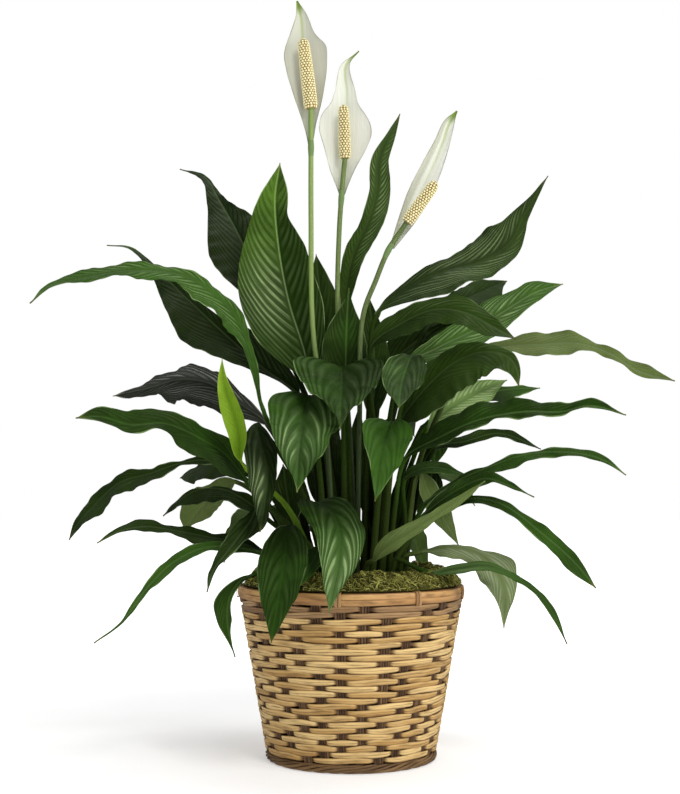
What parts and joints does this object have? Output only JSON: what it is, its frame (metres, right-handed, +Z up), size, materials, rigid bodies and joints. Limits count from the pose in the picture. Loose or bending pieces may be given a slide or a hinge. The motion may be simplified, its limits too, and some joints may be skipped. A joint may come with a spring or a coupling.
{
  "type": "potted peace lily",
  "caption": "Flowering peace lily with broad arching leaves and white blooms, growing from mossy soil in a round woven wicker basket.",
  "frame": {"origin": "centre of the basket floor's underside, on the surface the basket stands on", "axes": "+Z up along the basket axis; -Y towards the viewer of the picture; +X to that viewer's right"},
  "size_m": [0.6045, 0.3867, 0.7641],
  "materials": {
    "leaf_deep": "satin",
    "leaf_mid": "satin",
    "leaf_bright": "satin",
    "leaf_young": "satin",
    "leaf_olive": "satin",
    "leaf_grey": "satin",
    "stalk": "satin",
    "spathe": "matte",
    "spadix": "matte",
    "cane": "satin",
    "rim_cane": "satin",
    "base_cane": "matte",
    "liner": "matte",
    "soil": "matte",
    "moss": "matte"
  },
  "bodies": {
    "root": {"leaf_a1": "leaf_deep", "leaf_a2": "leaf_bright", "leaf_a3": "leaf_mid", "leaf_a4": "leaf_deep", "leaf_a5": "leaf_grey", "leaf_a6": "leaf_young", "leaf_b1": "leaf_mid", "leaf_b2": "leaf_deep", "leaf_b4": "leaf_olive", "leaf_b6": "leaf_deep", "leaf_b7": "leaf_mid", "leaf_b8": "leaf_deep", "leaf_c1": "leaf_mid", "leaf_c2": "leaf_deep", "leaf_c3": "leaf_mid", "leaf_c4": "leaf_mid", "leaf_c6": "leaf_bright", "leaf_c7": "leaf_mid", "leaf_c8": "leaf_mid", "leaf_c9": "leaf_olive", "leaf_c10": "leaf_deep", "leaf_d1": "leaf_deep", "leaf_d2": "leaf_deep", "leaf_d3": "leaf_deep", "leaf_d4": "leaf_mid", "leaf_d5": "leaf_deep", "leaf_d6": "leaf_olive", "leaf_d8": "leaf_deep", "leaf_d9": "leaf_bright", "leaf_d11": "leaf_mid", "leaf_d10": "leaf_mid", "leaf_d12": "leaf_deep", "leaf_d13": "leaf_mid", "leaf_d15": "leaf_mid", "leaf_d16": "leaf_olive", "leaf_d14": "leaf_mid", "leaf_d17": "leaf_olive", "leaf_e1": "leaf_deep", "leaf_f1": "leaf_deep", "leaf_k1": "leaf_mid", "leaf_k2": "leaf_deep", "leaf_k3": "leaf_mid", "leaf_k4": "leaf_deep", "leaf_k5": "leaf_mid", "stalk_left": "stalk", "spathe_left": "spathe", "spadix_left": "spadix", "stalk_middle": "stalk", "spathe_middle": "spathe", "spadix_middle": "spadix", "stalk_right": "stalk", "spathe_right": "spathe", "spadix_right": "spadix", "basket_wall": "cane", "basket_rim": "rim_cane", "basket_foot": "base_cane", "basket_floor": "base_cane", "liner": "liner", "soil": "soil", "moss": "moss"}
  },
  "joints": []
}
